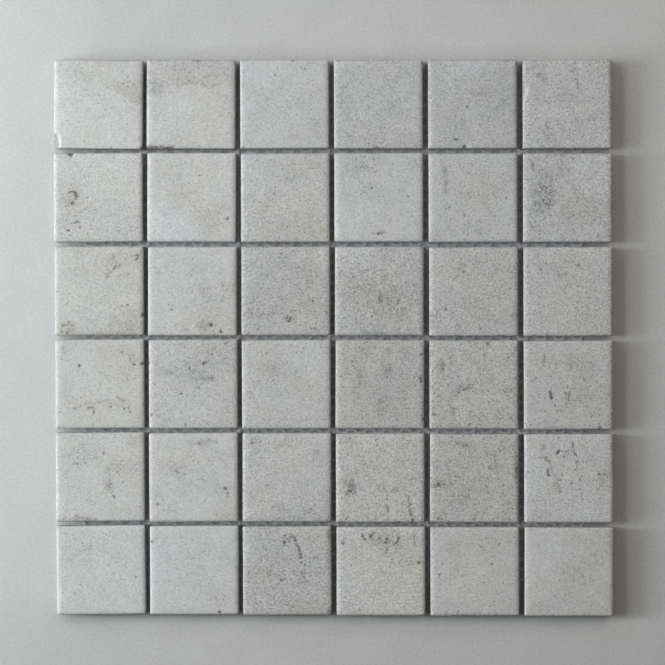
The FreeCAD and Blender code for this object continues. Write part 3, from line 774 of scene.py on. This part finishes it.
def make_tile(template, faces, depth, row, column):
    """One tile: faces is the number of its face's vertices, which come first."""
    name = f"tile_row{row}_col{column}"
    low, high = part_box(name)
    mesh = template.copy()
    mesh.name = f"glazed_{name}"
    total = len(mesh.vertices)
    places = np.empty(total * 3, dtype=np.float32)
    mesh.vertices.foreach_get("co", places)
    places = places.reshape(-1, 3)
    u = places[:faces, 0].astype(float) / MM + HALF
    v = HALF - places[:faces, 1].astype(float) / MM
    z = places[:faces, 2].astype(float) / MM
    *paint, sink = tile_paint(row, column, u, v, z, depth)
    places[:faces, 2] -= (sink * MM).astype(np.float32)
    places[:, :2] *= SPREAD
    mesh.vertices.foreach_set("co", places.ravel())
    paint.append(ramp(depth, BARE_START, BARE_RAMP) * BARE_MOST)
    for label, values in zip(PAINT, paint):
        full = np.full(total, 1.0 if label == "bare" else 0.0, dtype=np.float32)
        full[:faces] = values
        mesh.attributes.new(label, "FLOAT", "POINT").data.foreach_set("value", full)
    rng = np.random.default_rng(SEED + 7 * row + 31 * column)
    spot = places + rng.uniform(-3, 3, 3).astype(np.float32)
    mesh.attributes.new("place", "FLOAT_VECTOR", "POINT").data.foreach_set("vector", spot.ravel())
    mesh.set_sharp_from_angle(angle=math.radians(SHARP_ANGLE))
    tile = add_object(f"glazed_{name}", mesh)
    middle = (Vector(low) + Vector(high)) / 2
    from_left, from_top = column - (COLUMNS + 1) / 2, row - (ROWS + 1) / 2
    place = 10 * row + column
    nudge = NUDGE.get(place, (0, 0))
    across = from_top * (ROW_STEP - ROW_STEP_CHANGE * from_left) + COLUMN_SHIFT[column - 1]
    down = from_left * DIP * (row - DIP_FROM_ROW) + ROW_SHIFT[row - 1]
    across += nudge[0] + rng.normal(0, PLACE_JITTER)
    down += nudge[1] + rng.normal(0, PLACE_JITTER)
    tile.location = (middle.x + across * MM, middle.y - down * MM, low[2])
    turn = TURNS.get(place, COMMON_TURN + rng.normal(0, TURN_JITTER))
    tile.rotation_euler = (0, 0, math.radians(turn))
    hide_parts(name)
    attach(tile, "root")


# Net mesh: one closed skin round every thread, so the joints run together


def net_cells():
    """The hubs where threads meet, and the six hubs round each mesh of the net."""
    step_x, step_y = 1.5 * NET_SIDE, math.sqrt(3) * NET_SIDE
    columns = int(2 * (NET_HALF - NET_SIDE) / step_x) + 1
    rows = int(2 * (NET_HALF - step_y) / step_y) + 1
    turns = [math.radians(60 * k) for k in range(6)]
    hub, hubs, cells = {}, [], []
    for c in range(columns):
        cx = (c - (columns - 1) / 2) * step_x
        for r in range(rows):
            cy = (r - (rows - 1) / 2 + NET_SHIFT) * step_y - (step_y / 2 if c % 2 else 0)
            if abs(cy) > NET_HALF - step_y / 2:
                continue
            cell = []
            for t in turns:
                x, y = cx + NET_SIDE * math.cos(t), cy + NET_SIDE * math.sin(t)
                key = (round(x * 50), round(y * 50))
                if key not in hub:
                    hub[key] = len(hubs)
                    hubs.append((x, y))
                cell.append(hub[key])
            cells.append(cell)
    return np.array(hubs), cells


def make_net():
    rng = np.random.default_rng(SEED)
    hubs, cells = net_cells()
    hubs += rng.normal(0, NET_JITTER, hubs.shape)
    count = len(hubs)
    high = NET_RIDGE + NET_RIDGE_MORE * rng.random(count)
    verts = [(x, y, h) for (x, y), h in zip(hubs, high)]
    verts += [(x, y, NET_UNDERSIDE) for x, y in hubs]
    faces = []
    uses = {}
    for cell in cells:
        centre = hubs[cell].mean(axis=0)
        start = len(verts)
        for k in cell:
            toward = centre - hubs[k]
            length = np.linalg.norm(toward)
            inner = hubs[k] + toward / length * THREAD_HALF_WIDTH / math.cos(math.radians(30))
            verts.append((inner[0], inner[1], NET_EDGE))
        for m in range(6):
            a, b = cell[m], cell[(m + 1) % 6]
            ia, ib = start + m, start + (m + 1) % 6
            faces.append((a, b, ib, ia))
            faces.append((count + b, count + a, ia, ib))
            uses.setdefault((min(a, b), max(a, b)), []).append((a, b))

    # Threads along the outside have one cell, so their outer side is closed here
    outer = [seen[0] for seen in uses.values() if len(seen) == 1]
    outward = {}
    for a, b in outer:
        run = hubs[b] - hubs[a]
        normal = np.array([run[1], -run[0]]) / np.linalg.norm(run)
        for k in (a, b):
            outward.setdefault(k, []).append(normal)
    rim = {}
    for k, normals in outward.items():
        push = np.mean(normals, axis=0)
        place = hubs[k] + push / max(np.linalg.norm(push), 1e-6) * THREAD_HALF_WIDTH
        rim[k] = len(verts)
        verts.append((place[0], place[1], NET_EDGE))
    for a, b in outer:
        faces.append((b, a, rim[a], rim[b]))
        faces.append((count + a, count + b, rim[b], rim[a]))

    # The threads' thin sides are sharp, and their tops and undersides are rounded
    mesh = new_mesh("backing_net", verts, faces)
    for edge in mesh.edges:
        edge.use_edge_sharp = min(edge.vertices) >= 2 * count
    net = add_object("backing_net", mesh)
    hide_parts("net_lower_threads", "net_upper_threads")
    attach(net, "root")
    return net


# Materials, with wavelengths and reliefs in millimetres


def node(tree, kind, **values):
    made = tree.nodes.new(kind)
    for key, value in values.items():
        setattr(made, key, value)
    return made


def feed(tree, socket, value):
    """Links the socket to another node's output, or sets it to a number or a colour."""
    if isinstance(value, bpy.types.NodeSocket):
        tree.links.new(value, socket)
    elif isinstance(value, tuple) and len(socket.default_value) == 4:
        socket.default_value = (*value, 1)
    else:
        socket.default_value = value


def math_node(tree, operation, *values, clamp=False):
    made = node(tree, "ShaderNodeMath", operation=operation, use_clamp=clamp)
    for socket, value in zip(made.inputs, values):
        feed(tree, socket, value)
    return made.outputs[0]


def add(tree, a, b, clamp=False):
    return math_node(tree, "ADD", a, b, clamp=clamp)


def subtract(tree, a, b, clamp=False):
    return math_node(tree, "SUBTRACT", a, b, clamp=clamp)


def multiply(tree, a, b, clamp=False):
    return math_node(tree, "MULTIPLY", a, b, clamp=clamp)


def stretch(tree, value, gain, base):
    """Turns a value from 0 to 1 into one from base to base plus gain."""
    return add(tree, multiply(tree, value, gain), base)


def noise(tree, vector, wave, detail=2.0, rough=0.5):
    """Noise from 0 to 1 with the given main wavelength."""
    made = node(tree, "ShaderNodeTexNoise")
    made.inputs["Scale"].default_value = 1 / (wave * MM)
    made.inputs["Detail"].default_value = detail
    made.inputs["Roughness"].default_value = rough
    tree.links.new(vector, made.inputs["Vector"])
    return made.outputs["Fac"]


def mix_colour(tree, factor, a, b):
    made = node(tree, "ShaderNodeMix", data_type="RGBA")
    for k, value in ((0, factor), (6, a), (7, b)):
        feed(tree, made.inputs[k], value)
    return made.outputs[2]


def scale_colour(tree, colour, factor):
    made = node(tree, "ShaderNodeVectorMath", operation="SCALE")
    feed(tree, made.inputs[0], colour)
    feed(tree, made.inputs["Scale"], factor)
    return made.outputs[0]


def smooth_step(tree, value, start, end):
    made = node(tree, "ShaderNodeMapRange", interpolation_type="SMOOTHSTEP")
    for label, given in (("Value", value), ("From Min", start), ("From Max", end)):
        feed(tree, made.inputs[label], given)
    return made.outputs["Result"]


def spots(tree, vector, cell, size, density):
    """Round spots, one at most in each cell, in the share of cells that density gives."""
    made = node(tree, "ShaderNodeTexVoronoi", voronoi_dimensions="2D")
    made.inputs["Scale"].default_value = 1 / (cell * MM)
    tree.links.new(vector, made.inputs["Vector"])
    parts = node(tree, "ShaderNodeSeparateColor")
    tree.links.new(made.outputs["Color"], parts.inputs[0])
    chosen = math_node(tree, "LESS_THAN", parts.outputs[0], density)
    radius = multiply(tree, add(tree, parts.outputs[1], 0.35), size / cell)
    inside = subtract(tree, 1.0, math_node(tree, "DIVIDE", made.outputs["Distance"], radius))
    return multiply(tree, multiply(tree, inside, 2.5, True), chosen)


def new_material(name):
    material = bpy.data.materials.new(name)
    material.use_nodes = True
    return material, material.node_tree


def finish_material(material, colour, rough, height, relief):
    """Colour, roughness and a bump with the given relief."""
    tree = material.node_tree
    bump = node(tree, "ShaderNodeBump")
    inputs = tree.nodes["Principled BSDF"].inputs
    feed(tree, bump.inputs["Strength"], 1.0)
    feed(tree, bump.inputs["Distance"], relief * MM)
    feed(tree, bump.inputs["Height"], height)
    feed(tree, inputs["Base Color"], colour)
    feed(tree, inputs["Roughness"], rough)
    feed(tree, inputs["Normal"], bump.outputs["Normal"])
    return inputs


GLAZE = (0.482, 0.489, 0.471)
GLAZE_WARM = (0.499, 0.488, 0.436)
GLAZE_COOL = (0.464, 0.486, 0.495)
GLAZE_SPECULAR = 0.4
GLAZE_RELIEF = 0.045
BODY = (0.33, 0.325, 0.31)
SOOT = (0.035, 0.033, 0.030)
GRAIN_WAVE, DUST_WAVE, BODY_WAVE = 1.15, 0.62, 0.8
GRAIN_TONE, DUST_TONE, PORE_TONE = 0.85, 1.15, 1.6
PORE_LEVEL = 0.44

# Natural spots: cell, size, share of the cells and darkness
SPOTS = ((2.6, 0.36, 0.5, 0.8), (1.3, 0.28, 0.8, 0.5))


def tile_material():
    material, tree = new_material("cement_look_glaze")
    place = node(tree, "ShaderNodeAttribute", attribute_name="place").outputs["Vector"]
    tone, warm, specks, dark, grit, bare = (
        node(tree, "ShaderNodeAttribute", attribute_name=label).outputs["Fac"] for label in PAINT
    )
    side = mix_colour(tree, math_node(tree, "GREATER_THAN", warm, 0.0), GLAZE_COOL, GLAZE_WARM)
    hue = math_node(tree, "MINIMUM", math_node(tree, "ABSOLUTE", warm), 1.0)
    colour = mix_colour(tree, hue, GLAZE, side)

    grain = noise(tree, place, GRAIN_WAVE, 2.0, 0.7)
    dust = noise(tree, place, DUST_WAVE, 1.0, 0.5)
    rise = multiply(tree, subtract(tree, grain, 0.5), GRAIN_TONE)
    sand = multiply(tree, subtract(tree, dust, 0.5), DUST_TONE)
    pores = multiply(tree, subtract(tree, PORE_LEVEL, grain, True), PORE_TONE)
    texture = subtract(tree, add(tree, rise, sand), pores)
    level = add(tree, add(tree, tone, 1.0), multiply(tree, texture, grit))
    colour = scale_colour(tree, colour, level)

    spotted = [
        multiply(tree, spots(tree, place, cell, size, multiply(tree, specks, share)), shade)
        for cell, size, share, shade in SPOTS
    ]
    spotted = math_node(tree, "MAXIMUM", *spotted)
    ragged = subtract(tree, 1.7, multiply(tree, grain, 1.4))
    dark = multiply(tree, dark, ragged, True)
    sooty = math_node(tree, "MAXIMUM", dark, multiply(tree, spotted, 0.7), clamp=True)
    colour = mix_colour(tree, sooty, colour, SOOT)

    body_grain = noise(tree, place, BODY_WAVE, 3.0, 0.6)
    body = scale_colour(tree, BODY, stretch(tree, body_grain, 0.24, 0.88))
    colour = mix_colour(tree, bare, colour, body)
    rough = add(tree, stretch(tree, grain, 0.18, 0.44), multiply(tree, bare, 0.35), True)
    relief = add(tree, grain, multiply(tree, dust, 0.4))
    relief = subtract(tree, relief, multiply(tree, spotted, 1.2))
    inputs = finish_material(material, colour, rough, relief, GLAZE_RELIEF)
    inputs["Specular IOR Level"].default_value = GLAZE_SPECULAR
    return material


NET_WHITE = (0.62, 0.645, 0.695)
FIBRE_WAVE, DIRT_WAVE = 0.35, 9.0
NET_RELIEF = 0.04


def net_material():
    material, tree = new_material("white_net_thread")
    place = node(tree, "ShaderNodeTexCoord").outputs["Object"]
    fibres = noise(tree, place, FIBRE_WAVE)
    patches = noise(tree, place, DIRT_WAVE)
    level = add(tree, stretch(tree, fibres, 0.3, 0.70), multiply(tree, patches, 0.3))
    rough = stretch(tree, fibres, 0.2, 0.55)
    colour = scale_colour(tree, NET_WHITE, level)
    finish_material(material, colour, rough, fibres, NET_RELIEF)
    return material


# Painted light on the board under the sheet: it is paler towards the far side, and paler still
# along its left side, except near the viewer. The two ranges that bound that paler side are
# places in metres, and the rise towards the far side is a change per metre.
BOARD = (0.487, 0.493, 0.481)
BOARD_WAVE, CLOUD_WAVE = 1.6, 22.0
BOARD_RELIEF = 0.03
FLOOR_PAINTED_LIGHT_UP = 0.17
PAINTED_LIGHT_LEFT = (-0.10, -0.185)
PAINTED_LIGHT_UPPER = (-0.175, -0.12)
PAINTED_LIGHT_MORE = 0.09


def floor_material():
    material, tree = new_material("pale_board")
    place = node(tree, "ShaderNodeTexCoord").outputs["Object"]
    grain = noise(tree, place, BOARD_WAVE, 3.0, 0.6)
    patches = noise(tree, place, CLOUD_WAVE, 3.0, 0.55)
    where = node(tree, "ShaderNodeSeparateXYZ")
    tree.links.new(place, where.inputs[0])
    x, y = where.outputs["X"], where.outputs["Y"]
    level = add(tree, stretch(tree, grain, 0.38, 0.745), multiply(tree, patches, 0.13))
    # Painted light: paler towards the far side, and along the left side away from the viewer
    level = add(tree, level, multiply(tree, y, FLOOR_PAINTED_LIGHT_UP))
    painted_light = multiply(tree, smooth_step(tree, x, *PAINTED_LIGHT_LEFT), smooth_step(tree, y, *PAINTED_LIGHT_UPPER))
    level = add(tree, level, multiply(tree, painted_light, PAINTED_LIGHT_MORE))
    rough = stretch(tree, grain, 0.1, 0.75)
    finish_material(material, scale_colour(tree, BOARD, level), rough, grain, BOARD_RELIEF)
    return material


# Stage, in metres
FLOOR_SIZE = 6
FLOOR_HEIGHT = -0.00005


def make_floor():
    bpy.ops.mesh.primitive_plane_add(size=FLOOR_SIZE, location=(0, 0, FLOOR_HEIGHT))
    floor = bpy.context.object
    floor.name = "floor"
    floor.data.materials.append(floor_material())


# name, azimuth from the left towards the far side, elevation, distance, width, height, watts,
# colour
LIGHTS = [
    ("window_far", 4.0, 19, 3.0, 0.5, 0.35, 42.7, (0.955, 0.98, 1.10)),
    ("window_low", -6.0, 14, 1.2, 0.34, 0.126, 11.3, (0.98, 1.01, 1.01)),
    ("window_middle", -6.0, 28, 1.2, 0.34, 0.17, 0.6, (1.0, 1.0, 1.0)),
    ("window_side", 42.0, 20, 1.2, 0.4, 0.15, 2.3, (0.85, 0.90, 1.25)),
    ("window_high", 20.0, 38, 1.2, 0.8, 0.25, 5.5, (1.00, 1.05, 0.96)),
    ("upper_left", 4.5, 58, 2.0, 1.8, 0.70, 1.25, (1.0, 0.9, 1.1)),
    ("far_side", 90.0, 45, 1.6, 1.6, 0.6, 0.8, (1.0, 1.02, 0.97)),
    ("far_right", 135.0, 35, 1.6, 1.3, 0.6, 7.1, (1.09, 0.99, 0.90)),
    ("overhead", 0.0, 80, 1.8, 1.2, 1.2, 1.7, (1.02, 0.95, 1.05)),
]
BACKDROP = (0.62, 0.62, 0.62)


def make_lights():
    for name, azimuth, elevation, distance, width, height, watts, colour in LIGHTS:
        data = bpy.data.lights.new(name, "AREA")
        data.shape, data.size, data.size_y = "RECTANGLE", width, height
        data.energy, data.color = watts, colour
        light = add_object(name, data)
        a, e = math.radians(azimuth), math.radians(elevation)
        away = Vector((-math.cos(e) * math.cos(a), math.cos(e) * math.sin(a), math.sin(e)))
        light.location = away * distance
        light.rotation_euler = (-away).to_track_quat("-Z", "Y").to_euler()


def make_world():
    """A backdrop that only the camera sees."""
    world = bpy.data.worlds.new("dim_room")
    bpy.context.scene.world = world
    world.use_nodes = True
    background = world.node_tree.nodes["Background"]
    background.inputs["Color"].default_value = (*BACKDROP, 1)
    seen = world.node_tree.nodes.new("ShaderNodeLightPath")
    world.node_tree.links.new(seen.outputs["Is Camera Ray"], background.inputs["Strength"])


# The camera looks straight down from 1.2 m, and its other sizes are millimetres
CAMERA_HEIGHT = 1.2
VIEW_WIDTH = 361.7
VIEW_CENTRE = (-0.55, 2.65)
SENSOR = 36.0


def make_camera():
    data = bpy.data.cameras.new("camera")
    data.sensor_width = SENSOR
    data.lens = SENSOR * CAMERA_HEIGHT / (VIEW_WIDTH * MM)
    camera = add_object("camera", data)
    height = cad_high[2] + CAMERA_HEIGHT
    camera.location = (VIEW_CENTRE[0] * MM, VIEW_CENTRE[1] * MM, height)
    bpy.context.scene.camera = camera
    bpy.context.scene.view_settings.view_transform = "Standard"


template, face_count, edge_depth = tile_template()
template.materials.append(tile_material())
for row in range(1, ROWS + 1):
    for column in range(1, COLUMNS + 1):
        make_tile(template, face_count, edge_depth, row, column)
bpy.data.meshes.remove(template)
net = make_net()
net.data.materials.append(net_material())
make_floor()
make_lights()
make_world()
make_camera()
